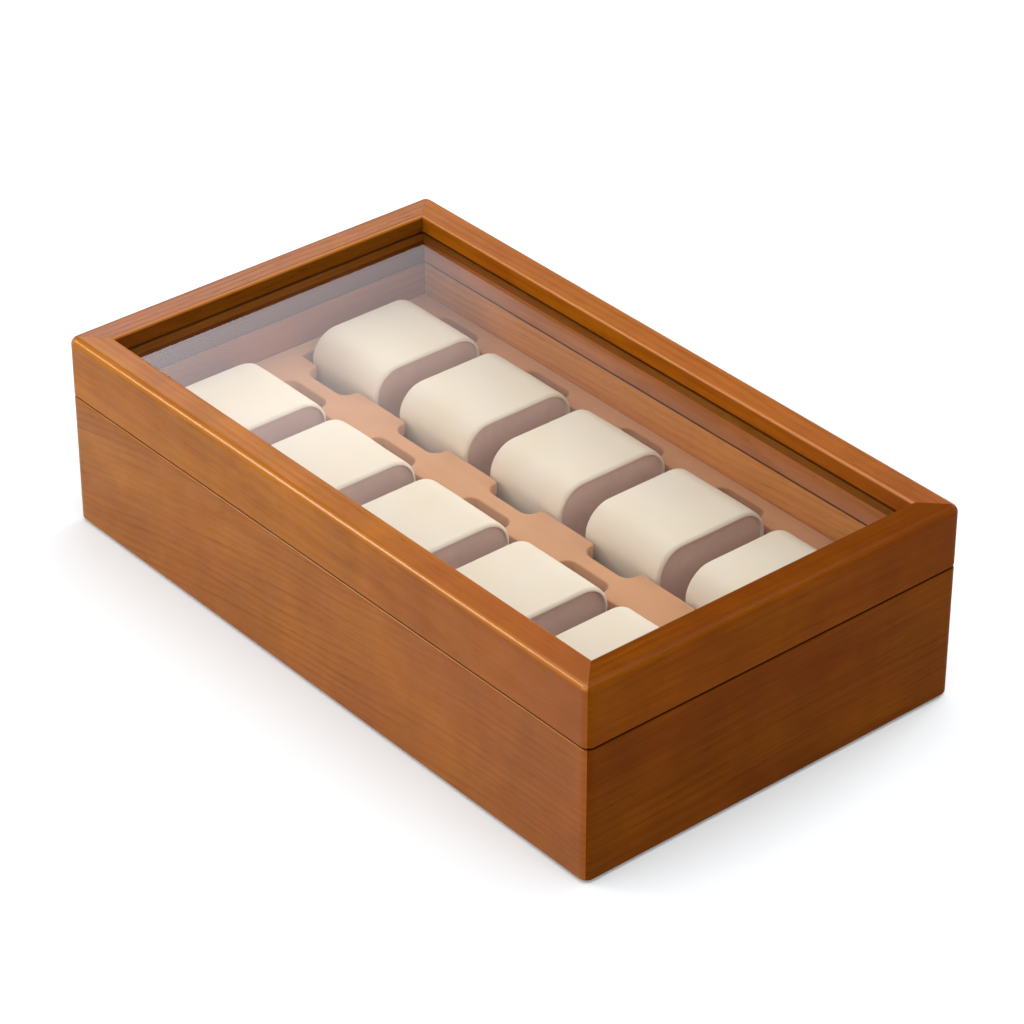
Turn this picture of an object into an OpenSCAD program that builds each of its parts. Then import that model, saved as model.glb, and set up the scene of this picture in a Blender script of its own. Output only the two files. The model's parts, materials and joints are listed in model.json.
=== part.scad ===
// Watch box with a glazed lid: a mitred hardwood box, a hinged lid with a set-in glass pane, and a
// covered deck with two rows of lift-out watch cushions.
// X runs along the long side, the front is -Y, the hinges are at +Y and Z is up.
// The origin is the middle of the box on the surface it stands on.

/* [Box] */
// Outside length of the box
box_l = 340; // [330:1:360]
// Outside depth of the box
box_d = 198; // [194:1:210]
// Height of the base's walls
base_h = 62.8; // [60:0.1:75]
// Height of the lid's frame
lid_h = 28.8; // [26:0.1:36]
// Thickness of the walls
wall = 10; // [9:0.5:12]
// Gap between the closed lid and the base
seam_gap = 0.4; // [0.3:0.1:1]
// Radius of the upright corners
corner_r = 4; // [4:0.5:8]

/* [Lid] */
// Width of the lid's frame, seen from above
frame_w = 14.4; // [13:0.2:20]
// Depth of the glass below the top of the frame
glass_drop = 7.8; // [4:0.1:12]
// Thickness of the glass
glass_t = 3; // [2:0.5:4]
// Height of the beads under the glass
bead_h = 3.7; // [3:0.1:6]

/* [Deck] */
// Height of the deck's top above the underside of the wood
deck_z = 47; // [44:0.1:52]
// Thickness of the deck
deck_t = 6; // [4:0.5:8]
// Width of the deck's strip between the two rows
strip_w = 23; // [20:0.5:26]
// Width of the deck's margin at the front and rear walls
edge_w = 14; // [12:0.5:16]
// Width of the deck's margin at the left and right walls
end_w = 8; // [6:0.5:9]
// Depth of a strap notch
notch_d = 7.8; // [7.8:0.1:8]
// Width of a strap notch at its mouth
notch_w = 33; // [28:1:40]
// Radius of the notch's two inner corners
notch_r = 5.3; // [4:0.1:5.4]
// Radius of the two corners where the notch meets the cut-out
mouth_r = 2.4; // [1:0.2:2.4]

/* [Cushions] */
// Number of cushions in a row
columns = 5; // [3:1:5]
// Distance between the middles of neighbouring strap notches
notch_pitch = 62.5; // [58:0.5:62.5]
// Distance between the middles of neighbouring cushions
cushion_pitch = 61.8; // [58:0.1:62.5]
// Width of a cushion, along the row
cushion_w = 46; // [36:1:50]
// Length of a cushion, across the row
cushion_l = 60.5; // [56:0.5:61]
// Height of a cushion
cushion_h = 51.8; // [46:0.1:53]
// Radius of the cushion's corners
cushion_r = 12.5; // [10:0.5:16]
// Thickness of the cushion's cover
cover_t = 1.2; // [0.8:0.1:2]

/* [Hinges] */
// Length of a hinge
hinge_l = 30; // [24:1:40]
// Distance from the middle of the box to the middle of a hinge
hinge_x = 105; // [60:1:130]
// Width of the leaf let into the wood
leaf_w = 8; // [7:0.5:8]
// Thickness of a leaf
leaf_t = 1; // [0.8:0.1:1.2]
// Radius of the hinge's barrel
barrel_r = 2.4; // [2.2:0.1:3]
// Radius of the hinge's pin
pin_r = 1; // [0.8:0.1:1.2]

/* [Hidden] */
ROWS = ["front", "rear"];
CUSHIONS = [for (row = [0:1], col = [0:columns - 1]) [row, col]];
function cushion_name(c) = str("cushion_", ROWS[c[0]], "_", c[1] + 1);

$fn = 48;
eps = 0.01;
over = 5;
felt_t = 1;
felt_inset = 3;
bottom_t = 5;
bottom_rebate = 5;
lining_t = 3;
divider_t = 6;
batten_w = 6;
batten_h = 10;
fit_gap = 0.3;

// Heights of the main levels
wood_z = felt_t;
base_top = wood_z + base_h;
lid_bottom = base_top + seam_gap;
lid_top = lid_bottom + lid_h;
glass_top = lid_top - glass_drop;
glass_bottom = glass_top - glass_t;
bottom_top = wood_z + bottom_t;
floor_top = bottom_top + lining_t;
deck_top = wood_z + deck_z;
deck_bottom = deck_top - deck_t;
cushion_z = floor_top + fit_gap;

// Inside of the walls
inner_l = box_l - 2 * wall;
inner_d = box_d - 2 * wall;
lip = frame_w - wall;

// Edge roundings of the wood
seam_edge_r = 1;
foot_edge_r = 1.5;
top_edge_r = 3.5;
frame_edge_r = 1.5;
inner_edge_r = 0.8;

// Rows of cushions
row_inner = strip_w / 2;
row_outer = inner_d / 2 - edge_w;
row_mid = (row_inner + row_outer) / 2;
row_l = inner_l - 2 * end_w;
end_panel_t = 1.2;
end_recess = 0.8;

// Hinges: the pin lies just outside the rear wall, level with the seam
running = 0.05;
knuckles = 5;
knuckle_gap = 0.3;
knuckle_pitch = hinge_l / knuckles;
pin_z = base_top + seam_gap / 2;
pin_y = box_d / 2 + barrel_r + fit_gap;
leaf_front = box_d / 2 - leaf_w;
screw_spread = 18;
screw_inset = 4.2;
screw_y = box_d / 2 - screw_inset;
screw_shank_r = 0.9;
screw_head_r = 1.7;
screw_l = 9;
screw_tip_h = 1;
screw_slot_w = 0.5;
screw_slot_d = 0.4;

WOOD = "#b5713a";
DARK_WOOD = "#8f5426";
TERRACOTTA = "#c98a63";
CREAM = "#efe6d6";
BROWN = "#6a3f2a";
FOAM = "#d9d4c4";
BRASS = "#c9a24a";
GLASS = "#cfe0e6";
FELT = "#3a2a22";

// ---- Shared shapes ----

// A rectangle with round corners, centred
module round_rect(w, d, r) {
    square([w - 2 * r, d], center = true);
    square([w, d - 2 * r], center = true);
    for (sx = [-1, 1], sy = [-1, 1])
        translate([sx * (w / 2 - r), sy * (d / 2 - r)])
            circle(r);
}

// What a round edge takes off a square one; the origin is the middle of the rounding
module edge_waste(r) {
    difference() {
        square(r + eps);
        circle(r);
    }
}

// Waste along the whole top rim of the box's outline, whose upper face is z = 0
module rim_waste(r) {
    straight_l = box_l - 2 * corner_r;
    straight_d = box_d - 2 * corner_r;
    for (turn = [0, 180])
        rotate(turn) {
            translate([-straight_l / 2, box_d / 2 - r, -r])
                rotate([90, 0, 90])
                    linear_extrude(straight_l)
                        edge_waste(r);
            translate([box_l / 2 - r, straight_d / 2, -r])
                rotate([90, 0, 0])
                    linear_extrude(straight_d)
                        edge_waste(r);
        }
    for (sx = [-1, 1], sy = [-1, 1])
        translate([sx * straight_l / 2, sy * straight_d / 2, -r])
            mirror([sx < 0 ? 1 : 0, 0, 0])
                mirror([0, sy < 0 ? 1 : 0, 0])
                    rotate_extrude(angle = 90)
                        translate([corner_r - r, 0])
                            edge_waste(r);
}

// The outside of the box between two heights, with its round edges
module outside(z0, z1, bottom_r, top_r) {
    difference() {
        translate([0, 0, z0])
            linear_extrude(z1 - z0)
                round_rect(box_l, box_d, corner_r);
        translate([0, 0, z1])
            rim_waste(top_r);
        translate([0, 0, z0])
            mirror([0, 0, 1])
                rim_waste(bottom_r);
    }
}

// The mitred quarter of the plan that belongs to one side: 0 front, 1 right, 2 rear, 3 left
module mitre_quarter(side) {
    reach = 30;
    turned = side % 2 == 1;
    l = turned ? box_d : box_l;
    d = turned ? box_l : box_d;
    rotate(side * 90)
        translate([0, 0, -over])
            linear_extrude(lid_top + 2 * over)
                polygon([
                    [-l / 2 - over, -d / 2 - over],
                    [l / 2 + over, -d / 2 - over],
                    [l / 2 - reach, -d / 2 + reach],
                    [-l / 2 + reach, -d / 2 + reach]
                ]);
}

// One side's board: its section, given as (distance in from the outer face, height), runs the
// full length of that side
module along_side(side) {
    turned = side % 2 == 1;
    l = (turned ? box_d : box_l) + 2 * over;
    d = turned ? box_l : box_d;
    rotate(side * 90)
        translate([-l / 2, -d / 2, 0])
            rotate([90, 0, 90])
                linear_extrude(l)
                    children();
}

// ---- Base ----

// Section of a base wall: rebated for the bottom panel, eased at the inner top edge
module base_section() {
    difference() {
        translate([-over, wood_z - over])
            square([wall + over, base_h + 2 * over]);
        translate([wall - bottom_rebate, wood_z - 2 * over])
            square([bottom_rebate + over, bottom_t + 2 * over]);
        translate([wall - inner_edge_r, base_top - inner_edge_r])
            edge_waste(inner_edge_r);
    }
}

module base_wall(side) {
    color(WOOD)
        difference() {
            intersection() {
                outside(wood_z, base_top, foot_edge_r, seam_edge_r);
                along_side(side)
                    base_section();
                mitre_quarter(side);
            }
            if (side == 2)
                for (s = [-1, 1])
                    translate([s * hinge_x, 0, 0])
                        base_hinge_cutout();
        }
}

module base_front_wall() { base_wall(0); }
module base_right_wall() { base_wall(1); }
module base_rear_wall() { base_wall(2); }
module base_left_wall() { base_wall(3); }

// The bottom panel lies in the walls' rebate, flush with the underside of the wood
module bottom_panel() {
    color(DARK_WOOD)
        translate([-inner_l / 2 - bottom_rebate, -inner_d / 2 - bottom_rebate, wood_z])
            cube([inner_l + 2 * bottom_rebate, inner_d + 2 * bottom_rebate, bottom_t]);
}

// A felt sheet under the whole base keeps the wood off the table
module base_felt() {
    color(FELT)
        linear_extrude(felt_t)
            round_rect(box_l - 2 * felt_inset, box_d - 2 * felt_inset, corner_r);
}

module floor_lining() {
    color(BROWN)
        translate([-inner_l / 2 + fit_gap, -inner_d / 2 + fit_gap, bottom_top])
            cube([inner_l - 2 * fit_gap, inner_d - 2 * fit_gap, lining_t]);
}

// Upright board under the strip between the rows
module centre_divider() {
    color(DARK_WOOD)
        translate([-inner_l / 2, -divider_t / 2, floor_top])
            cube([inner_l, divider_t, deck_bottom - floor_top]);
}

module deck_battens_long() {
    color(DARK_WOOD)
        for (s = [0, 180])
            rotate(s)
                translate([-inner_l / 2, inner_d / 2 - batten_w, deck_bottom - batten_h])
                    cube([inner_l, batten_w, batten_h]);
}

module deck_battens_short() {
    color(DARK_WOOD)
        for (sx = [0, 1], sy = [0, 1])
            mirror([sx, 0, 0])
                mirror([0, sy, 0])
                    translate([inner_l / 2 - batten_w, divider_t / 2, deck_bottom - batten_h])
                        cube([batten_w, inner_d / 2 - batten_w - divider_t / 2, batten_h]);
}

// ---- Deck ----

// A strap notch, opening towards -Y with its mouth at y = 0
module notch() {
    body_w = notch_w - 2 * mouth_r;
    flat_w = body_w - 2 * notch_r;
    translate([-body_w / 2, -eps])
        square([body_w, notch_d - notch_r + eps]);
    translate([-flat_w / 2, 0])
        square([flat_w, notch_d]);
    for (s = [-1, 1])
        translate([s * flat_w / 2, notch_d - notch_r])
            circle(notch_r);
    difference() {
        translate([-notch_w / 2, -eps])
            square([notch_w, mouth_r + eps]);
        for (s = [-1, 1])
            translate([s * notch_w / 2, mouth_r])
                circle(mouth_r);
    }
}

// The cut-out for one row, with a notch in front of and behind each cushion
module row_cutout() {
    half = (row_outer - row_inner) / 2;
    translate([-row_l / 2, -half])
        square([row_l, 2 * half]);
    for (col = [0:columns - 1], turn = [0, 180])
        translate([column_x(col, notch_pitch), 0])
            rotate(turn)
                translate([0, half])
                    notch();
}

function column_x(col, pitch) = (col - (columns - 1) / 2) * pitch;

module deck() {
    color(TERRACOTTA)
        translate([0, 0, deck_bottom])
            linear_extrude(deck_t)
                difference() {
                    square([inner_l - 2 * fit_gap, inner_d - 2 * fit_gap], center = true);
                    for (s = [-1, 1])
                        translate([0, s * row_mid])
                            row_cutout();
                }
}

// ---- Lid ----

// Section of a lid rail: a wide frame on top, stepped back below it for the glass and its bead
module lid_section() {
    difference() {
        union() {
            translate([-over, lid_bottom - over])
                square([wall + over, lid_h + 2 * over]);
            translate([-over, glass_top])
                square([frame_w + over, glass_drop + over]);
        }
        translate([frame_w - frame_edge_r, lid_top - frame_edge_r])
            edge_waste(frame_edge_r);
        translate([wall - inner_edge_r, lid_bottom + inner_edge_r])
            mirror([0, 1])
                edge_waste(inner_edge_r);
    }
}

module lid_rail(side) {
    color(WOOD)
        difference() {
            intersection() {
                outside(lid_bottom, lid_top, seam_edge_r, top_edge_r);
                along_side(side)
                    lid_section();
                mitre_quarter(side);
            }
            if (side == 2)
                for (s = [-1, 1])
                    translate([s * hinge_x, 0, 0])
                        lid_hinge_cutout();
        }
}

module lid_front_rail() { lid_rail(0); }
module lid_right_rail() { lid_rail(1); }
module lid_rear_rail() { lid_rail(2); }
module lid_left_rail() { lid_rail(3); }

module glass_pane() {
    color(GLASS, 0.35)
        translate([-inner_l / 2 + fit_gap, -inner_d / 2 + fit_gap, glass_bottom])
            cube([inner_l - 2 * fit_gap, inner_d - 2 * fit_gap, glass_t]);
}

// Beads under the glass, flush with the frame's inner face
module glass_beads_long() {
    color(WOOD)
        for (s = [0, 180])
            rotate(s)
                translate([-inner_l / 2, inner_d / 2 - lip, glass_bottom - bead_h])
                    cube([inner_l, lip, bead_h]);
}

module glass_beads_short() {
    short_l = inner_d - 2 * lip;
    color(WOOD)
        for (s = [0, 180])
            rotate(s)
                translate([inner_l / 2 - lip, -short_l / 2, glass_bottom - bead_h])
                    cube([lip, short_l, bead_h]);
}

// ---- Hinges ----

// A screw with a countersunk slotted head, pointing down, its head's face at z = 0
module hinge_screw() {
    head_h = screw_head_r - screw_shank_r;
    difference() {
        rotate_extrude()
            polygon([
                [0, 0],
                [screw_head_r, 0],
                [screw_shank_r, -head_h],
                [screw_shank_r, screw_tip_h - screw_l],
                [0, -screw_l]
            ]);
        translate([-screw_head_r - eps, -screw_slot_w / 2, -screw_slot_d])
            cube([2 * screw_head_r + 2 * eps, screw_slot_w, screw_slot_d + eps]);
    }
}

// The space that a hinge screw takes
module screw_space() {
    rotate_extrude()
        polygon([
            [0, eps],
            [screw_head_r, eps],
            [screw_head_r, 0],
            [screw_shank_r, screw_shank_r - screw_head_r],
            [screw_shank_r, screw_tip_h - screw_l],
            [0, -screw_l]
        ]);
}

module screw_places() {
    for (s = [-1, 1])
        translate([s * screw_spread / 2, screw_y, base_top])
            children();
}

// Reflects a base piece into the lid piece that faces it across the seam
module across_seam() {
    translate([0, 0, pin_z])
        mirror([0, 0, 1])
            translate([0, 0, -pin_z])
                children();
}

// What is cut from the base's rear wall for one hinge
module base_hinge_cutout() {
    translate([-hinge_l / 2, leaf_front, base_top - leaf_t])
        cube([hinge_l, leaf_w + over, leaf_t + over]);
    screw_places()
        screw_space();
}

module lid_hinge_cutout() {
    across_seam()
        base_hinge_cutout();
}

// One stretch of barrel along X, from x0 to x1
module barrel(x0, x1) {
    translate([x0, pin_y, pin_z])
        rotate([0, 90, 0])
            cylinder(h = x1 - x0, r = barrel_r);
}

// The barrel stretches of a leaf: the base leaf has the odd ones, the lid leaf the even ones
module leaf_barrels(first) {
    for (k = [first:2:knuckles - 1]) {
        x0 = -hinge_l / 2 + k * knuckle_pitch + (k == 0 ? 0 : knuckle_gap / 2);
        x1 = -hinge_l / 2 + (k + 1) * knuckle_pitch - (k == knuckles - 1 ? 0 : knuckle_gap / 2);
        barrel(x0, x1);
        translate([x0, box_d / 2 - eps, base_top - leaf_t])
            cube([x1 - x0, pin_y - box_d / 2, leaf_t]);
    }
}

module leaf_plate() {
    translate([-hinge_l / 2, leaf_front, base_top - leaf_t])
        cube([hinge_l, leaf_w, leaf_t]);
}

module pin_hole(r) {
    translate([-hinge_l, pin_y, pin_z])
        rotate([0, 90, 0])
            cylinder(h = 2 * hinge_l, r = r);
}

module base_leaf() {
    color(BRASS)
        difference() {
            union() {
                leaf_plate();
                leaf_barrels(0);
            }
            pin_hole(pin_r);
            screw_places()
                screw_space();
        }
}

module lid_leaf() {
    color(BRASS)
        across_seam()
            difference() {
                union() {
                    leaf_plate();
                    leaf_barrels(1);
                }
                pin_hole(pin_r + running);
                screw_places()
                    screw_space();
            }
}

module hinge_left_base_leaf() { translate([-hinge_x, 0, 0]) base_leaf(); }
module hinge_right_base_leaf() { translate([hinge_x, 0, 0]) base_leaf(); }
module hinge_left_lid_leaf() { translate([-hinge_x, 0, 0]) lid_leaf(); }
module hinge_right_lid_leaf() { translate([hinge_x, 0, 0]) lid_leaf(); }

module hinge_pins() {
    color(BRASS)
        for (s = [-1, 1])
            translate([s * hinge_x - hinge_l / 2, pin_y, pin_z])
                rotate([0, 90, 0])
                    cylinder(h = hinge_l, r = pin_r);
}

module hinge_base_screws() {
    color(BRASS)
        for (s = [-1, 1])
            translate([s * hinge_x, 0, 0])
                screw_places()
                    hinge_screw();
}

module hinge_lid_screws() {
    color(BRASS)
        across_seam()
            for (s = [-1, 1])
                translate([s * hinge_x, 0, 0])
                    screw_places()
                        hinge_screw();
}

// ---- Cushions ----

// Puts a cushion's piece in its place; the piece is drawn lying along X, its side profile in (y, z)
module at_cushion(c) {
    translate([
        column_x(c[1], cushion_pitch),
        (c[0] == 0 ? -1 : 1) * row_mid,
        cushion_z + cushion_h / 2
    ])
        rotate([90, 0, 90])
            children();
}

module cushion_profile(inset) {
    round_rect(cushion_l - 2 * inset, cushion_h - 2 * inset, cushion_r - inset);
}

// The cover is a band that wraps round the core
module cushion_cover() {
    color(CREAM)
        linear_extrude(cushion_w, center = true)
            difference() {
                cushion_profile(0);
                cushion_profile(cover_t);
            }
}

module cushion_core() {
    color(FOAM)
        linear_extrude(cushion_w - 2 * (end_panel_t + end_recess), center = true)
            cushion_profile(cover_t);
}

// Two end panels close the cushion, set a little below the cover's edge
module cushion_ends() {
    color(BROWN)
        for (s = [0, 1])
            mirror([0, 0, s])
                translate([0, 0, cushion_w / 2 - end_recess - end_panel_t])
                    linear_extrude(end_panel_t)
                        cushion_profile(cover_t);
}

// ---- The assembly ----

base_front_wall();
base_rear_wall();
base_left_wall();
base_right_wall();
bottom_panel();
base_felt();
floor_lining();
centre_divider();
deck_battens_long();
deck_battens_short();
deck();
lid_front_rail();
lid_rear_rail();
lid_left_rail();
lid_right_rail();
glass_pane();
glass_beads_long();
glass_beads_short();
hinge_left_base_leaf();
hinge_right_base_leaf();
hinge_left_lid_leaf();
hinge_right_lid_leaf();
hinge_pins();
hinge_base_screws();
hinge_lid_screws();
for (c = CUSHIONS) {
    at_cushion(c) cushion_cover();
    at_cushion(c) cushion_core();
    at_cushion(c) cushion_ends();
}
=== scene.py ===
"""Watch box: the looks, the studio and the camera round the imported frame. Metres throughout."""
import json
import math

import bmesh
import bpy
from mathutils import Matrix, Vector, noise

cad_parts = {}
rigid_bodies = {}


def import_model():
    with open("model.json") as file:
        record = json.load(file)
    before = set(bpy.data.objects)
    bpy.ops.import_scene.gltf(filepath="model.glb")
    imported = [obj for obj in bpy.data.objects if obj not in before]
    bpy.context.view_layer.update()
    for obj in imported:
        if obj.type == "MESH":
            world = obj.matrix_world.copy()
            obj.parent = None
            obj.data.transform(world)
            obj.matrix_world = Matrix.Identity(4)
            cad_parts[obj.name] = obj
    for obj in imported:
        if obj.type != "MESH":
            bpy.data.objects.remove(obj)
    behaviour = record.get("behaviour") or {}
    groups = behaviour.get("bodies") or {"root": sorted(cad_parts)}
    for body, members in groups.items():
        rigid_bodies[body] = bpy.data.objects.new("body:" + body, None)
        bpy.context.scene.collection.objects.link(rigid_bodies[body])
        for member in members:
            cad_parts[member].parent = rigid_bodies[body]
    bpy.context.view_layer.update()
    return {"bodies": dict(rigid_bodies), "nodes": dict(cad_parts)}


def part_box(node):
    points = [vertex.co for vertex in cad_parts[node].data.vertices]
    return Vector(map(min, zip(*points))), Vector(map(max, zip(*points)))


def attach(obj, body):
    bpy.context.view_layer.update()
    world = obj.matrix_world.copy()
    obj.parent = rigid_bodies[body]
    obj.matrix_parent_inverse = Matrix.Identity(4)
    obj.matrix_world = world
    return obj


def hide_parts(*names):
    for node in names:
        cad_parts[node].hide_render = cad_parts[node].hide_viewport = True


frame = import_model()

MM = 0.001
scene = bpy.context.scene
bodies = frame["bodies"]
nodes = frame["nodes"]


# ---- Materials ----

class Shader:
    """A material with one Principled shader, and short calls that add nodes to it."""

    def __init__(self, name, **settings):
        """settings are inputs of the Principled shader, in lower case with underscores."""
        self.material = bpy.data.materials.new(name)
        self.material.use_nodes = True
        self.tree = self.material.node_tree
        self.surface = self.tree.nodes["Principled BSDF"]
        self.output = self.tree.nodes["Material Output"]
        for label, value in settings.items():
            title = label.replace("_", " ").title().replace("Ior", "IOR")
            self.surface.inputs[title].default_value = value

    def add(self, kind, inputs=None, **settings):
        """Adds a node, sets its properties, and sets or links its inputs by name or number."""
        node = self.tree.nodes.new(kind)
        for label, value in settings.items():
            setattr(node, label, value)
        for label, value in (inputs or {}).items():
            self.feed(node.inputs[label], value)
        return node

    def feed(self, socket, value):
        """Links an input to another node's output, or sets it to a plain value."""
        if isinstance(value, bpy.types.NodeSocket):
            self.tree.links.new(value, socket)
        else:
            socket.default_value = value

    def place(self):
        """Where a point lies in the rest pose, in metres."""
        return self.add("ShaderNodeTexCoord").outputs["Object"]

    def mapped(self, vector, location=(0, 0, 0), rotation=(0, 0, 0), scale=(1, 1, 1)):
        """A vector scaled, then turned, then moved."""
        return self.add("ShaderNodeMapping", {"Vector": vector, "Location": location,
                                              "Rotation": rotation, "Scale": scale}).outputs[0]

    def split(self, vector):
        """A vector's x, y and z."""
        return self.add("ShaderNodeSeparateXYZ", {0: vector}).outputs[:]

    def math(self, operation, a, b=0.0, clamp=False):
        return self.add("ShaderNodeMath", {0: a, 1: b}, operation=operation, use_clamp=clamp).outputs[0]

    def plus(self, a, b):
        return self.math("ADD", a, b)

    def minus(self, a, b):
        return self.math("SUBTRACT", a, b)

    def times(self, a, b):
        return self.math("MULTIPLY", a, b)

    def noise(self, vector, scale, detail=3.0, roughness=0.5, distortion=0.0):
        settings = {"Vector": vector, "Scale": scale, "Detail": detail, "Roughness": roughness,
                    "Distortion": distortion}
        return self.add("ShaderNodeTexNoise", settings).outputs["Fac"]

    def drawn_noise(self, vector, scale, shift=0.0, **settings):
        """Noise with its own scale along each axis, moved by shift along the first."""
        return self.noise(self.mapped(vector, location=(shift, 0, 0), scale=scale), 1.0, **settings)

    def ramp(self, value, low, high, to_low=0.0, to_high=1.0, smooth=False):
        """Maps low..high to to_low..to_high and holds it there outside."""
        kind = "SMOOTHSTEP" if smooth else "LINEAR"
        return self.add("ShaderNodeMapRange", {"Value": value, "From Min": low, "From Max": high,
                                               "To Min": to_low, "To Max": to_high},
                        interpolation_type=kind).outputs[0]

    def mix(self, share, a, b, blend="MIX"):
        """A colour between a and b."""
        node = self.add("ShaderNodeMix", data_type="RGBA", blend_type=blend)
        self.feed(node.inputs["Factor"], share)
        self.feed(node.inputs[6], a)
        self.feed(node.inputs[7], b)
        return node.outputs[2]

    def bump(self, height, distance, strength=1.0):
        settings = {"Height": height, "Distance": distance, "Strength": strength}
        return self.add("ShaderNodeBump", settings).outputs[0]

    def finish(self, colour=None, roughness=None, normal=None):
        """Links what is given to the Principled shader and returns the material."""
        for label, value in (("Base Color", colour), ("Roughness", roughness), ("Normal", normal)):
            if value is not None:
                self.tree.links.new(value, self.surface.inputs[label])
        return self.material


def rgba(r, g, b):
    return (r, g, b, 1.0)


def toned(colour, shares):
    """A colour with its red, green and blue scaled one by one."""
    return rgba(*(c * share for c, share in zip(colour, shares)))


def scaled(colour, share):
    return toned(colour, (share, share, share))


def linear(r, g, b):
    """A colour given as display values from 0 to 255."""
    def one(c):
        c /= 255
        return c / 12.92 if c <= 0.04045 else ((c + 0.055) / 1.055) ** 2.4
    return rgba(one(r), one(g), one(b))


# heights and half sizes of the box, from the frame
BOX_HALF_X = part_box("base_right_wall")[1].x
BOX_HALF_Y = -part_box("base_front_wall")[0].y
LID_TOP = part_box("lid_front_rail")[1].z
BASE_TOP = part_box("base_front_wall")[1].z
UNDER_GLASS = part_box("glass_pane")[0].z

# the boards' widths and edge radii, as the part's source has them
FRAME_W = 14.4 * MM
WALL = 10 * MM
FRAME_EDGE = 1.5 * MM
SEAM_EDGE = 1.0 * MM
TOP_EDGE = 3.5 * MM

# the painted shade in the joint between base and lid: its height, and how far from it the shade begins and
# ends to fade
SEAM = BASE_TOP + 0.3 * MM
SEAM_FADE = (0.45 * MM, 0.70 * MM)
# how far a mitre's hairline reaches to either side
MITRE_REACH = 0.30 * MM

FRONT, RIGHT, REAR, LEFT = range(4)

# the tint of the wood's own gloss, the lacquer's roughness and the fibres' relief
STAIN = rgba(1.0, 0.72, 0.38)
COAT_ROUGHNESS = 0.14
FIBRE_DEPTH = 0.03 * MM
# how far the rings wander, in long waves and in short ones
RING_WARP = 0.018
RING_WOBBLE = 0.0012

# parts of a board's colour, as shares of its tint's red, green and blue
LATE_WOOD = (0.58, 0.44, 0.20)
RED_WOOD = (0.92, 0.80, 1.20)
GOLD_WOOD = (1.10, 1.20, 0.60)
# the darker, redder painted shade towards one end of a board
RED_SHADE = (0.70, 0.54, 2.00)
INNER_LATE_WOOD = (0.66, 0.56, 0.40)


def growth_rings(shader, board, across, up, rise, heart, pitch):
    """Late wood, from 0 to 1, in rings round the heart that wander along the board."""
    warp = shader.drawn_noise(board, (6, 20, 20), detail=2.0)
    small_warp = shader.drawn_noise(board, (30, 150, 150), detail=2.0)
    off_across = shader.minus(across, heart[0])
    off_up = shader.minus(shader.minus(up, heart[1]), rise)
    squares = shader.plus(shader.times(off_across, off_across), shader.times(off_up, off_up))
    radius = shader.plus(shader.math("SQRT", squares), shader.times(warp, RING_WARP))
    radius = shader.plus(radius, shader.times(small_warp, RING_WOBBLE))
    phase = shader.math("FRACT", shader.math("DIVIDE", radius, pitch))
    late = shader.ramp(phase, 0.40, 0.90, smooth=True)
    fresh = shader.ramp(phase, 0.90, 1.0, 1.0, 0.0, smooth=True)
    fade = shader.drawn_noise(board, (9, 40, 40), detail=1.0)
    return shader.times(shader.times(late, fresh), shader.ramp(fade, 0.32, 0.62, 0.25, 1.0))


def box_inside(shader, depth, up):
    """1 on the wood that faces the inside of the box, under the glass."""
    past_wall = shader.ramp(depth, WALL - 0.5 * MM, WALL - 0.2 * MM)
    below_glass = shader.ramp(up, UNDER_GLASS - 0.5 * MM, UNDER_GLASS, 1.0, 0.0)
    return shader.times(past_wall, below_glass)


def worn_edges_and_highlight(shader, depth, up, arris, on_frame):
    """1 on the upper outer edge's round, and on the lid frame also on its inner edge's round, where the
    colour is lightened: partly wear, partly a painted highlight.
    """
    edge_z, edge_r = arris
    wear_and_highlight = shader.times(shader.ramp(depth, 0.4 * edge_r, 0.7 * edge_r, 1.0, 0.0),
                        shader.ramp(up, edge_z - 0.7 * edge_r, edge_z - 0.4 * edge_r))
    if on_frame:
        near_glass = shader.ramp(depth, FRAME_W - 0.8 * FRAME_EDGE, FRAME_W - 0.55 * FRAME_EDGE)
        near_top = shader.ramp(up, LID_TOP - 0.9 * FRAME_EDGE, LID_TOP - 0.5 * FRAME_EDGE)
        wear_and_highlight = shader.math("MAXIMUM", wear_and_highlight, shader.times(near_glass, near_top))
    return wear_and_highlight


def frame_inner_face(shader, depth, up):
    """1 on the lid frame's inner face, below its round."""
    round_foot = LID_TOP - FRAME_EDGE
    below_round = shader.ramp(up, round_foot - 0.1 * MM, round_foot + 0.3 * MM, 1.0, 0.0)
    return shader.times(shader.ramp(depth, FRAME_W - 0.5 * MM, FRAME_W - 0.2 * MM), below_round)


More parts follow.
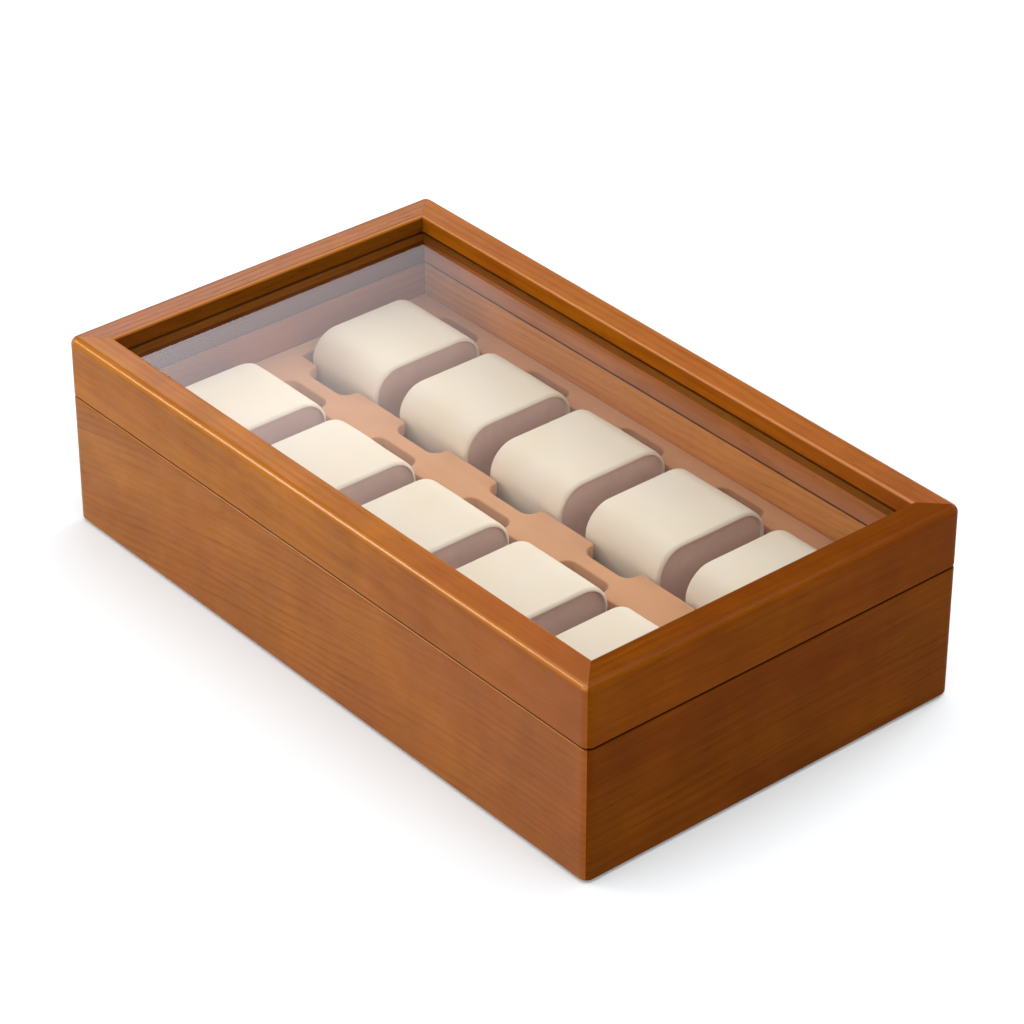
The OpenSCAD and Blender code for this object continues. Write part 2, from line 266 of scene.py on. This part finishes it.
def wood(name, side, seed, tint, heart, pitch, tilt=0.0, bend=0.0, ring=0.5, blotch=0.5, pores=0.3,
         gloss=0.4, coat=0.25, redden=0.0, inner_face_shade=None, face_coat=0.0, inner_light_and_shade_tint=None, arris=None,
         rub_and_highlight=1.0, relief=0.5):
    """Lacquered wood whose grain runs along one side of the box.

    side is FRONT, RIGHT, REAR or LEFT, and seed picks another stretch of the same wood. heart is where the
    middle of the tree lies, as (in from the side's outer face, up from the floor), and pitch is how far
    apart its rings are. tilt and bend are how the grain rises along the board. ring, blotch and pores are
    how strongly rings, clouds in the stain and pores show. redden is how much redder and darker the wood
    gets from the middle to the right end, seen from outside, or to the left end if negative: painted shade
    towards the box's darker right side. inner_face_shade is how light the lid frame's unpolished inner face
    is beside
    the rest of the board: painted shade, and painted light where it is above 1. On the lid, coat is the
    polish of the upper face and face_coat that of the outer face. inner_light_and_shade_tint is the wood's
    colour inside the box, made lighter or darker as painted light and shade there. arris is the height and
    radius of the upper edge, and rub_and_highlight is how much it is rubbed lighter and polished, the
    lighter colour partly wear and partly a painted highlight.
    """
    shader = Shader(name, coat_weight=coat, coat_roughness=COAT_ROUGHNESS, specular_ior_level=gloss,
                    specular_tint=STAIN)
    half_length, half_depth = BOX_HALF_X, BOX_HALF_Y
    if side in (RIGHT, LEFT):
        half_length, half_depth = BOX_HALF_Y, BOX_HALF_X
    rest = shader.place()
    turned = shader.mapped(rest, rotation=(0, 0, -side * math.pi / 2))
    flat = shader.mapped(turned, location=(0, half_depth, 0))
    board = shader.mapped(flat, location=(seed * 0.37, 0, seed * 0.013))
    along, across, up = shader.split(flat)
    rest_x, rest_y, _ = shader.split(rest)
    in_x = shader.minus(BOX_HALF_X, shader.math("ABSOLUTE", rest_x))
    in_y = shader.minus(BOX_HALF_Y, shader.math("ABSOLUTE", rest_y))
    depth = shader.math("MINIMUM", in_x, in_y)

    # rings, and fibres and pores drawn out along the same bent lines
    rise = shader.plus(shader.times(along, tilt), shader.times(shader.times(along, along), bend))
    rings = growth_rings(shader, board, across, up, rise, heart, pitch)
    bent = shader.add("ShaderNodeCombineXYZ", {0: along, 1: across, 2: shader.minus(up, rise)}).outputs[0]
    fibre = shader.drawn_noise(bent, (42, 1000, 1000), shift=seed, detail=3.0, roughness=0.65)
    streak = shader.drawn_noise(bent, (10, 420, 420), shift=seed * 3, detail=3.0, roughness=0.6)
    pore = shader.drawn_noise(bent, (120, 1900, 1900), shift=seed * 5, detail=1.0)
    pore = shader.ramp(pore, 0.63, 0.72, smooth=True)
    grain = shader.plus(shader.times(rings, ring), shader.times(shader.ramp(streak, 0.40, 0.68), 0.34))
    grain = shader.math("ADD", grain, shader.times(shader.ramp(fibre, 0.42, 0.72), 0.26), clamp=True)

    # red and gold clouds in the stain
    cloud = shader.drawn_noise(board, (12, 26, 26), detail=3.0, distortion=0.5)
    dark = toned(tint, LATE_WOOD)
    black = scaled(dark, 0.45)
    gold = toned(tint, GOLD_WOOD)
    hue = shader.mix(shader.ramp(cloud, 0.3, 0.7), toned(tint, RED_WOOD), gold)
    hue = shader.mix(blotch, scaled(tint, 1.04), hue)
    # painted shade: darker and redder towards the box's darker right side
    if redden:
        red_end = math.copysign(half_length, redden)
        share = shader.ramp(along, -0.15 * half_length, red_end, 0.0, abs(redden))
        hue = shader.mix(share, hue, toned(tint, RED_SHADE))
    # painted light and shade: the wood inside the box under the glass takes a lighter or darker tint for the
    # light that reaches it
    if inner_light_and_shade_tint:
        inside = box_inside(shader, depth, up)
        hue = shader.mix(inside, hue, inner_light_and_shade_tint)
        dark = shader.mix(inside, dark, toned(inner_light_and_shade_tint, INNER_LATE_WOOD))
    colour = shader.mix(grain, hue, dark)
    colour = shader.mix(shader.times(pore, pores), colour, black)
    glow = shader.drawn_noise(board, (40, 22, 22), detail=3.0, distortion=0.6)
    shimmer = shader.ramp(glow, 0.3, 0.7, 1 - 0.10 * blotch, 1 + 0.10 * blotch)
    shine = shader.add("ShaderNodeCombineColor", {0: shimmer, 1: shimmer, 2: shimmer}).outputs[0]
    colour = shader.mix(1.0, colour, shine, "MULTIPLY")

    # the glued mitres show as hairlines, and painted shade darkens the joint between lid and base
    off_mitre = shader.math("ABSOLUTE", shader.minus(in_x, in_y))
    colour = shader.mix(shader.ramp(off_mitre, 0.0, MITRE_REACH, 0.5, 0.0, smooth=True), colour, black)
    off_seam = shader.math("ABSOLUTE", shader.minus(up, SEAM))
    colour = shader.mix(shader.ramp(off_seam, *SEAM_FADE, 0.8, 0.0, smooth=True), colour, black)

    # edges are rubbed light and polished, the lighter colour partly wear and partly a painted highlight; the
    # lid frame's inner face is left matt and takes painted shade
    polish = coat
    if arris:
        wear_and_highlight = worn_edges_and_highlight(shader, depth, up, arris, bool(inner_face_shade))
        # painted highlight: the edges' colour is lightened towards gold, partly standing for rubbed wear
        colour = shader.mix(shader.times(wear_and_highlight, 0.5 * rub_and_highlight), colour, scaled(gold, 1.5))
        if inner_face_shade:
            polish = shader.ramp(up, LID_TOP - 3.4 * MM, LID_TOP - 1.0 * MM, face_coat, coat)
        polish = shader.math("ADD", polish, shader.times(wear_and_highlight, 0.6 * rub_and_highlight), clamp=True)
    if inner_face_shade:
        matt_and_shade = frame_inner_face(shader, depth, up)
        polish = shader.times(polish, shader.ramp(matt_and_shade, 0.0, 1.0, 1.0, 0.0))
        shader.feed(shader.surface.inputs["Specular IOR Level"], shader.ramp(matt_and_shade, 0.0, 1.0, gloss, 0.0))
        # painted shade: the matt inner face's colour is scaled darker for the shade there, and lighter as
        # painted light on the rear rail
        shade = shader.mix(1.0, colour, rgba(inner_face_shade, inner_face_shade, inner_face_shade), "MULTIPLY")
        colour = shader.mix(matt_and_shade, colour, shade)
    shader.feed(shader.surface.inputs["Coat Weight"], polish)

    ripple = shader.noise(rest, 90.0, detail=2.0)
    height = shader.plus(shader.times(fibre, 0.5), shader.times(rings, 0.25))
    height = shader.minus(height, shader.times(pore, 0.8))
    normal = shader.bump(height, FIBRE_DEPTH, relief)
    roughness = shader.ramp(shader.plus(ripple, shader.times(pore, 0.3)), 0.3, 0.8, 0.36, 0.52)
    return shader.finish(colour, roughness, normal)


def suede(name, colour, nap=0.22, grain=900.0, sheen=0.35, depth=0.10 * MM):
    """Short brushed pile: patches where the nap lies another way, and fine fibres."""
    shader = Shader(name, sheen_weight=sheen, sheen_roughness=0.45, specular_ior_level=0.15)
    rest = shader.place()
    patches = shader.noise(rest, 26.0, detail=4.0, roughness=0.6, distortion=1.2)
    combed = shader.mapped(rest, rotation=(0.2, 0.1, 0.6), scale=(60, 240, 240))
    brushed = shader.noise(combed, 1.0, detail=3.0)
    fibres = shader.noise(rest, grain, detail=4.0, roughness=0.7)
    specks = shader.noise(rest, grain * 2.3, detail=2.0)
    tone = shader.plus(shader.times(patches, 0.5), shader.times(brushed, 0.3))
    tone = shader.plus(tone, shader.times(fibres, 0.45))
    tone = shader.plus(tone, shader.times(specks, 0.15))
    shade = shader.mix(shader.ramp(tone, 0.45, 0.95), scaled(colour, 1 - nap), scaled(colour, 1 + nap * 0.8))
    height = shader.plus(fibres, shader.times(specks, 0.5))
    normal = shader.bump(height, depth, 0.7)
    roughness = shader.ramp(patches, 0.3, 0.7, 0.82, 0.95)
    return shader.finish(shade, roughness, normal)


# the cover's thread, and the relief of its fuzz, of the felt and of the brass
THREAD_PITCH = 0.45 * MM
CREAM_FUZZ = 0.03 * MM
WOOL_DEPTH = 0.25 * MM
TURNING_DEPTH = 0.01 * MM


def brushed_cream(name, colour):
    """The cushions' cover: a fine, soft, almost plain fabric."""
    shader = Shader(name, sheen_weight=0.12, sheen_roughness=0.4, specular_ior_level=0.22)
    rest = shader.place()
    rest_x = shader.split(rest)[0]
    weave = shader.math("SINE", shader.times(rest_x, 2 * math.pi / THREAD_PITCH))
    cloud = shader.noise(rest, 35.0, detail=3.0)
    fuzz = shader.noise(rest, 1500.0, detail=3.0, roughness=0.65)
    yellow = toned(colour, (0.985, 0.965, 0.90))
    shade = shader.mix(shader.ramp(cloud, 0.35, 0.68), colour, yellow)
    shade = shader.mix(shader.ramp(fuzz, 0.5, 0.78, 0.0, 0.35), shade, scaled(colour, 0.88))
    height = shader.plus(shader.times(weave, 0.12), fuzz)
    normal = shader.bump(height, CREAM_FUZZ, 0.5)
    roughness = shader.ramp(cloud, 0.3, 0.7, 0.70, 0.82)
    return shader.finish(shade, roughness, normal)


def felt(name, colour):
    """Matted wool: light and dark fibres in soft clouds."""
    shader = Shader(name, sheen_weight=0.3, sheen_roughness=0.6, specular_ior_level=0.1)
    rest = shader.place()
    wool = shader.noise(rest, 700.0, detail=5.0, roughness=0.75, distortion=2.0)
    cloud = shader.noise(rest, 60.0, detail=3.0)
    tone = shader.plus(wool, shader.times(cloud, 0.4))
    shade = shader.mix(shader.ramp(tone, 0.5, 0.9), scaled(colour, 0.6), scaled(colour, 1.7))
    return shader.finish(shade, shader.ramp(cloud, 0.3, 0.7, 0.9, 1.0), shader.bump(wool, WOOL_DEPTH, 0.8))


def brass(name):
    """Satin brass with fine turning lines and darker patches."""
    shader = Shader(name, metallic=1.0)
    rest = shader.place()
    lines = shader.drawn_noise(rest, (900, 2600, 2600), detail=3.0)
    patina = shader.noise(rest, 160.0, detail=4.0, distortion=0.6)
    bright = rgba(0.80, 0.58, 0.24)
    tarnished = rgba(0.52, 0.34, 0.13)
    shade = shader.mix(shader.ramp(patina, 0.42, 0.72), bright, tarnished)
    roughness = shader.ramp(shader.plus(lines, shader.times(patina, 0.6)), 0.5, 1.1, 0.20, 0.42)
    return shader.finish(shade, roughness, shader.bump(lines, TURNING_DEPTH, 0.5))


def clear_glass(name):
    """A polished pane whose shadow lets the lamps' light through."""
    shader = Shader(name, transmission_weight=1.0, roughness=0.0, ior=1.5,
                    base_color=rgba(0.985, 0.995, 0.99))
    clear = shader.add("ShaderNodeBsdfTransparent", {"Color": rgba(0.945, 0.945, 0.945)})
    rays = shader.add("ShaderNodeLightPath")
    mixed = shader.add("ShaderNodeMixShader", {0: rays.outputs["Is Shadow Ray"],
                                               1: shader.surface.outputs[0], 2: clear.outputs[0]})
    shader.tree.links.new(mixed.outputs[0], shader.output.inputs["Surface"])
    return shader.material


def paint(node, material):
    """Puts a material on every slot of a CAD node."""
    for slot in nodes[node].material_slots:
        slot.material = material


# each side's board in the lid and in the base, in the terms of wood()
WOODS = {
    "lid_front_rail": dict(
        side=FRONT, seed=1.0, tint=rgba(0.385, 0.117, 0.004), heart=(-0.30, 0.078), pitch=0.0034,
        ring=0.35, blotch=1.0, gloss=0.22, coat=0.26, redden=0.9, inner_face_shade=0.8, face_coat=0.02),
    # painted shade: a darker tint than the other rails for the shade on the box's right side, with little
    # painted highlight on its edges
    "lid_right_rail": dict(
        side=RIGHT, seed=2.0, tint=rgba(0.176, 0.044, 0.001), heart=(-0.30, 0.070), pitch=0.0040,
        ring=0.30, blotch=1.0, gloss=0.02, coat=0.06, redden=0.6, inner_face_shade=0.8, rub_and_highlight=0.15),
    "lid_rear_rail": dict(
        side=REAR, seed=3.0, tint=rgba(0.360, 0.102, 0.006), heart=(-0.30, 0.050), pitch=0.0045,
        ring=0.35, blotch=0.7, gloss=0.30, coat=0.15, redden=-0.7, inner_face_shade=1.15,
        # painted light: paler inside, below the glass
        inner_light_and_shade_tint=rgba(0.52, 0.20, 0.075)),
    "lid_left_rail": dict(
        side=LEFT, seed=4.0, tint=rgba(0.330, 0.098, 0.008), heart=(-0.30, 0.040), pitch=0.0032,
        ring=0.60, blotch=0.6, pores=0.6, gloss=0.15, coat=0.38, inner_face_shade=0.5, face_coat=0.1,
        # painted shade: near black inside, below the glass
        inner_light_and_shade_tint=rgba(0.12, 0.030, 0.002), relief=0.3),
    "base_front_wall": dict(
        side=FRONT, seed=5.0, tint=rgba(0.355, 0.104, 0.003), heart=(0.012, -0.120), pitch=0.0038,
        tilt=0.11, bend=-0.25, ring=0.35, blotch=0.9, gloss=0.25, coat=0.04, redden=0.6),
    # painted shade: a darker tint than the other walls for the shade on the box's right side, with no
    # painted highlight on its edge
    "base_right_wall": dict(
        side=RIGHT, seed=6.0, tint=rgba(0.140, 0.034, 0.001), heart=(0.03, -0.16), pitch=0.0060,
        tilt=0.03, ring=0.18, blotch=1.0, gloss=0.02, coat=0.0, rub_and_highlight=0.0),
    "base_rear_wall": dict(
        side=REAR, seed=7.0, tint=rgba(0.350, 0.105, 0.008), heart=(0.02, -0.07), pitch=0.0042,
        # painted light: the inner wall is tinted lighter for the light that falls on it
        tilt=-0.04, ring=0.4, blotch=0.6, gloss=0.1, coat=0.2, inner_light_and_shade_tint=rgba(0.66, 0.27, 0.070)),
    "base_left_wall": dict(
        side=LEFT, seed=8.0, tint=rgba(0.330, 0.100, 0.012), heart=(0.015, -0.05), pitch=0.0040,
        tilt=0.05, ring=0.45, blotch=0.7, gloss=0.1, coat=0.2, relief=0.15),
}
BEAD_WOOD = dict(tint=rgba(0.20, 0.070, 0.012), heart=(-0.08, 0.03), pitch=0.003, blotch=0.4, gloss=0.1,
                 coat=0.0)
PANEL_WOOD = dict(tint=linear(130, 86, 54), heart=(0.2, -0.3), pitch=0.006, blotch=0.4, gloss=0.2, coat=0.0)


def dress_wood():
    for node, settings in WOODS.items():
        arris = (LID_TOP, TOP_EDGE) if node.startswith("lid_") else (BASE_TOP, SEAM_EDGE)
        paint(node, wood("wood_" + node, arris=arris, **settings))
    paint("glass_beads_long", wood("wood_bead_long", FRONT, 9.0, **BEAD_WOOD))
    paint("glass_beads_short", wood("wood_bead_short", RIGHT, 10.0, **BEAD_WOOD))
    panel = wood("wood_panel", FRONT, 11.0, **PANEL_WOOD)
    for node in ("bottom_panel", "centre_divider", "deck_battens_long", "deck_battens_short"):
        paint(node, panel)


# ---- Pieces that replace plain CAD solids ----

# for CAD shapes: how near points weld, and the angles that count as flat and as sharp
WELD_REACH = 0.002 * MM
FLAT_ANGLE = math.radians(1)
SHARP_ANGLE = math.radians(45)
# for boards: how near the top a rim edge lies, the steps of its round, and how far a face's normal leaves
# the level before the face is shaded smooth
RIM_REACH = 0.01 * MM
ROUND_STEPS = 4
SMOOTH_ABOVE = 0.02


def new_object(name, mesh, material, smooth=True):
    piece = bpy.data.objects.new(name, mesh)
    scene.collection.objects.link(piece)
    mesh.materials.append(material)
    mesh.polygons.foreach_set("use_smooth", [smooth] * len(mesh.polygons))
    return piece


def object_from(shape, name, material, smooth=True):
    """Makes an object of a bmesh and frees the bmesh."""
    mesh = bpy.data.meshes.new(name)
    shape.to_mesh(mesh)
    shape.free()
    return new_object(name, mesh, material, smooth)


def welded_copy(node):
    """The CAD node's shape as one welded bmesh with its flat faces whole again."""
    source = nodes[node].data
    shape = bmesh.new()
    made = [shape.verts.new(v.co) for v in source.vertices]
    for face in source.polygons:
        shape.faces.new([made[i] for i in face.vertices])
    bmesh.ops.remove_doubles(shape, verts=shape.verts, dist=WELD_REACH)
    bmesh.ops.dissolve_limit(shape, angle_limit=FLAT_ANGLE, verts=shape.verts, edges=shape.edges)
    bmesh.ops.recalc_face_normals(shape, faces=shape.faces)
    return shape


def covered_board(name, node, body, material, round_r):
    """A board wrapped in fabric: the CAD node's shape with its top edges rounded over."""
    shape = welded_copy(node)
    top = max(v.co.z for v in shape.verts)
    rim = [e for e in shape.edges if e.calc_face_angle(0) > SHARP_ANGLE
           and all(abs(v.co.z - top) < RIM_REACH for v in e.verts)]
    bmesh.ops.bevel(shape, geom=rim, offset=round_r, segments=ROUND_STEPS, profile=0.5, affect="EDGES",
                    clamp_overlap=True)
    bmesh.ops.triangulate(shape, faces=[f for f in shape.faces if len(f.verts) > 4])
    board = object_from(shape, name, material, smooth=False)
    for face in board.data.polygons:
        face.use_smooth = abs(face.normal.z) > SMOOTH_ABOVE
    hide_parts(node)
    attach(board, body)
    return board


# a cushion's side view: its corners' radius, the least radius drawn, and how many points go round it
CUSHION_CORNER = 13.5 * MM
LEAST_CORNER = 2.5 * MM
ROUND_POINTS = 112
# each corner's place, as signs of y and z, and the way the straight side after it runs
CORNERS = (((1, 1), (-1, 0)), ((-1, 1), (0, -1)), ((-1, -1), (1, 0)), ((1, -1), (0, 1)))

# the cover's crown, and its underside's share of it
CROWN = 0.7 * MM
UNDER_CROWN_SHARE = 0.4
# its rolled edge's radius, steps and flattening
ROLL = 1.9 * MM
ROLL_STEPS = 7
ROLL_FLATTENED = 0.84
# how far the rolled edge's lip reaches in, how deep the end panel sits, and how thick its seat is
LIP = 1.7 * MM
RECESS = 1.3 * MM
SEAT_THICK = 0.3 * MM
# how much room the cover leaves in its CAD solid, and how far it sways and puckers
COVER_EASE = 0.15 * MM
SWAY = 0.22 * MM
PUCKER = 0.10 * MM

# an end panel's section from its back to near its middle, as (out from its seat, in from the outline)
END_PANEL_SECTION = ((-0.9 * MM, LIP + 0.25 * MM), (-0.25 * MM, LIP + 0.08 * MM), (0.0, LIP + 0.35 * MM),
                     (0.10 * MM, LIP + 1.6 * MM), (0.20 * MM, LIP + 5 * MM), (0.28 * MM, LIP + 10 * MM))


def rounded_outline(half_l, half_h, inset):
    """Points round a cushion's side view, as (y, z) from its middle, drawn in by inset."""
    half_l -= inset
    half_h -= inset
    corner = max(CUSHION_CORNER - inset, LEAST_CORNER)
    straights = (2 * (half_l - corner), 2 * (half_h - corner))
    quarter = corner * math.pi / 2
    length = 2 * sum(straights) + 4 * quarter
    points = []
    for i in range(ROUND_POINTS):
        walked = i / ROUND_POINTS * length
        for k, ((sign_y, sign_z), (run_y, run_z)) in enumerate(CORNERS):
            centre_y = sign_y * (half_l - corner)
            centre_z = sign_z * (half_h - corner)
            straight = straights[k % 2]
            if walked < quarter:
                turn = k * math.pi / 2 + walked / corner
                points.append((centre_y + corner * math.cos(turn), centre_z + corner * math.sin(turn)))
                break
            walked -= quarter
            if walked < straight:
                turn = (k + 1) * math.pi / 2
                points.append((centre_y + corner * math.cos(turn) + run_y * walked,
                               centre_z + corner * math.sin(turn) + run_z * walked))
                break
            walked -= straight
    return points


def cover_stations(half_w):
    """The cover's rings from its left end panel's seat to its right one, as (x, inset)."""
    seat = half_w - RECESS
    half = [(seat - SEAT_THICK, inset) for inset in (14 * MM, 6 * MM, LIP + 0.5 * MM)]
    half += [(seat, LIP), (half_w - 0.45 * MM, LIP - 0.02 * MM)]
    for step in range(ROLL_STEPS + 1):
        turn = math.pi / 2 * step / ROLL_STEPS
        half.append((half_w - ROLL + ROLL * math.cos(turn), ROLL * (1 - math.sin(turn)) * ROLL_FLATTENED))
    half += [(half_w - ROLL - reach, 0.0) for reach in (1.2 * MM, 3 * MM, 6 * MM, 10 * MM, 15 * MM)]
    left = [(-x, inset) for x, inset in half]
    right = [(x, inset) for x, inset in reversed(half)]
    return left + [(0.0, 0.0)] + right


def close_skin(shape, rings):
    """Joins rings of vertices side by side and caps the first and the last."""
    for a, b in zip(rings, rings[1:]):
        for i in range(ROUND_POINTS):
            j = (i + 1) % ROUND_POINTS
            shape.faces.new((a[i], b[i], b[j], a[j]))
    for ring in (rings[0], rings[-1]):
        shape.faces.new(ring)


def cushion_cover(name, low, high, seed, material):
    """The cream cover: a closed band with rolled edges, a slight crown and small puckers."""
    middle = (low + high) / 2
    half_w, half_l, half_h = (high - low) / 2
    shape = bmesh.new()
    rings = []
    for x, inset in cover_stations(half_w):
        ring = []
        open_share = max(0.0, 1 - (abs(x) / (half_w - ROLL)) ** 2) if inset == 0 else 0.0
        for y, z in rounded_outline(half_l - COVER_EASE, half_h - CROWN, inset):
            out = Vector((0, y / half_l, z / half_h)).normalized()
            sway = noise.noise(Vector((x * 55 + seed * 7.1, y * 42, z * 42 + seed)))
            pucker = noise.noise(Vector((seed * 3.7, math.atan2(z, y) * 9, x * 60)))
            crown = CROWN * open_share * (1 - min(1, abs(y) / half_l) ** 2)
            push = SWAY * sway * (0.35 + open_share)
            push += PUCKER * pucker * (1 - open_share) * (inset < 0.5 * MM)
            point = Vector((x, y, z)) + out * push
            point.z += crown if z > 0 else -UNDER_CROWN_SHARE * crown
            ring.append(shape.verts.new(middle + point))
        rings.append(ring)
    close_skin(shape, rings)
    bmesh.ops.recalc_face_normals(shape, faces=shape.faces)
    return object_from(shape, name, material)


def end_panels(name, low, high, material):
    """Two domed panels, each set inside the cover's rolled edge."""
    middle = (low + high) / 2
    half_w, half_l, half_h = (high - low) / 2
    shape = bmesh.new()
    for side in (-1, 1):
        rings = []
        for out, inset in END_PANEL_SECTION:
            x = side * (half_w - RECESS + out)
            rings.append([shape.verts.new(middle + Vector((x, y, z)))
                          for y, z in rounded_outline(half_l, half_h - CROWN, inset)])
        close_skin(shape, rings)
    bmesh.ops.recalc_face_normals(shape, faces=shape.faces)
    return object_from(shape, name, material)


def make_cushions():
    cream = brushed_cream("cream_cover", linear(236, 223, 205))
    # painted light: the end panels take a pale tan far lighter than their brown suede, to make up for the
    # shade between the cushions under the glass
    lit_end_suede = suede("brown_suede", rgba(0.72, 0.50, 0.41), nap=0.14, grain=1100.0, sheen=0.6)
    cushions = sorted(b for b in bodies if b.startswith("cushion_"))
    for seed, body in enumerate(cushions):
        low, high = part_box(body + "_cover")
        label = body.replace("cushion_", "")
        cover = cushion_cover("cover_" + label, low, high, seed, cream)
        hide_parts(body + "_cover", body + "_core")
        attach(cover, body)
        ends = end_panels("ends_" + label, low, high, lit_end_suede)
        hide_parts(body + "_ends")
        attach(ends, body)


def make_felt():
    """The felt under the base: a thin flat sheet."""
    shape = welded_copy("base_felt")
    bmesh.ops.triangulate(shape, faces=shape.faces)
    sheet = object_from(shape, "felt_sheet", felt("felt", linear(70, 52, 42)), smooth=False)
    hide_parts("base_felt")
    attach(sheet, "base")


def make_boards():
    terracotta = suede("terracotta_suede", rgba(0.63, 0.315, 0.155), nap=0.10)
    deck = covered_board("suede_deck", "deck", "base", terracotta, 0.7 * MM)
    tan = suede("lining_suede", linear(150, 100, 70))
    lining = covered_board("suede_lining", "floor_lining", "base", tan, 0.8 * MM)


def dress_metal_and_glass():
    metal = brass("satin_brass")
    for node in nodes:
        if node.startswith("hinge_"):
            paint(node, metal)
    paint("glass_pane", clear_glass("clear_glass"))


# ---- Studio ----

# the camera looks from the photo's side: its turn from the front, its height angle, place and lens in mm
AZIMUTH = math.radians(50.01)
ELEVATION = math.radians(32.92)
EYE = Vector((1.06029, -0.88253, 0.93948))
LENS = 137.6
SENSOR = 36

FLOOR_HALF = 6.0
WORLD_STRENGTH = 0.25

# the glowing card's place and half size, and the way over it that its glow fades, as shares of x and y
CARD_PLACE = (-1.49, 1.24, 1.285)
CARD_HALF = 0.65
FADE_WAY = (0.807, 0.499)
# the glow falls from its full strength to a low one at the knee, then softly to nothing
FADE_START, FADE_KNEE, FADE_END = -0.43, -0.03, 0.25
CARD_FULL = 4.0
CARD_LOW = 0.42

# each softbox's place, size, power in watts, and the point that it faces
BOX_MIDDLE = (0.0, 0.0, 0.05)
SOFTBOXES = {
    "top": ((0.0, 0.2, 2.2), (3.0, 3.0), 50, (0.0, 0.2, 0.0)),
    "back": ((-0.1, 2.2, 1.3), (1.2, 1.2), 22, BOX_MIDDLE),
    "right": ((2.6, 0.0, 1.3), (2.0, 2.0), 24, BOX_MIDDLE),
    "front": ((-0.3, -2.6, 1.0), (2.4, 1.6), 18, BOX_MIDDLE),
    "front_high": ((-0.5, -1.5, 2.0), (1.6, 1.6), 4, BOX_MIDDLE),
    "key": ((-1.41, -1.19, 1.23), (0.6, 0.6), 8, BOX_MIDDLE),
}


def make_camera():
    data = bpy.data.cameras.new("camera")
    data.sensor_width = SENSOR
    data.lens = LENS
    camera = bpy.data.objects.new("camera", data)
    scene.collection.objects.link(camera)
    back = Vector((math.sin(AZIMUTH) * math.cos(ELEVATION), -math.cos(AZIMUTH) * math.cos(ELEVATION),
                   math.sin(ELEVATION)))
    right = Vector((math.cos(AZIMUTH), math.sin(AZIMUTH), 0))
    up = back.cross(right)
    turn = Matrix((right, up, back)).transposed().to_4x4()
    camera.matrix_world = Matrix.Translation(EYE) @ turn
    scene.camera = camera


def area_light(name, place, size, power, target):
    """A softbox, hidden from rays through the glass, because the pane's shadow lets its light in."""
    data = bpy.data.lights.new(name, "AREA")
    data.shape = "RECTANGLE"
    data.size, data.size_y = size
    data.energy = power
    lamp = bpy.data.objects.new(name, data)
    lamp.visible_transmission = False
    scene.collection.objects.link(lamp)
    lamp.location = place
    lamp.rotation_euler = (Vector(target) - Vector(place)).to_track_quat("-Z", "Y").to_euler()


def make_floor():
    """A pale floor that glows a little, so that it stays near white."""
    shader = Shader("studio_white", base_color=rgba(0.85, 0.89, 0.91), roughness=0.9, specular_ior_level=0.0,
                    emission_color=rgba(1, 1, 1), emission_strength=0.10)
    half = FLOOR_HALF
    mesh = bpy.data.meshes.new("floor")
    mesh.from_pydata([(-half, -half, 0), (half, -half, 0), (half, half, 0), (-half, half, 0)], [],
                     [(0, 1, 2, 3)])
    floor = new_object("floor", mesh, shader.material, smooth=False)


def make_card():
    """A glowing card over the far left of the box, which the glass mirrors; it fades towards the right."""
    shader = Shader("glow_card")
    card_x, card_y, _ = shader.split(shader.place())
    across = shader.plus(shader.times(card_x, FADE_WAY[0]), shader.times(card_y, FADE_WAY[1]))
    bright = shader.ramp(across, FADE_START, FADE_KNEE, CARD_FULL, CARD_LOW)
    tail = shader.ramp(across, FADE_KNEE, FADE_END, 0.0, -CARD_LOW, smooth=True)
    emission = shader.add("ShaderNodeEmission", {"Color": rgba(0.97, 0.94, 1.0),
                                                 "Strength": shader.plus(bright, tail)})
    shader.tree.links.new(emission.outputs[0], shader.output.inputs["Surface"])
    half = CARD_HALF
    mesh = bpy.data.meshes.new("card")
    mesh.from_pydata([(-half, -half, 0), (-half, half, 0), (half, half, 0), (half, -half, 0)], [],
                     [(0, 1, 2, 3)])
    card = new_object("card", mesh, shader.material, smooth=False)
    card.location = CARD_PLACE
    card.visible_transmission = False
    card.visible_diffuse = False


def light_world():
    world = bpy.data.worlds.new("studio")
    world.use_nodes = True
    background = world.node_tree.nodes["Background"]
    background.inputs["Color"].default_value = rgba(1, 1, 1)
    background.inputs["Strength"].default_value = WORLD_STRENGTH
    scene.world = world
    scene.view_settings.view_transform = "Standard"


def make_studio():
    light_world()
    make_floor()
    make_card()
    for name, settings in SOFTBOXES.items():
        area_light(name, *settings)
    make_camera()


dress_wood()
dress_metal_and_glass()
make_boards()
make_cushions()
make_felt()
make_studio()
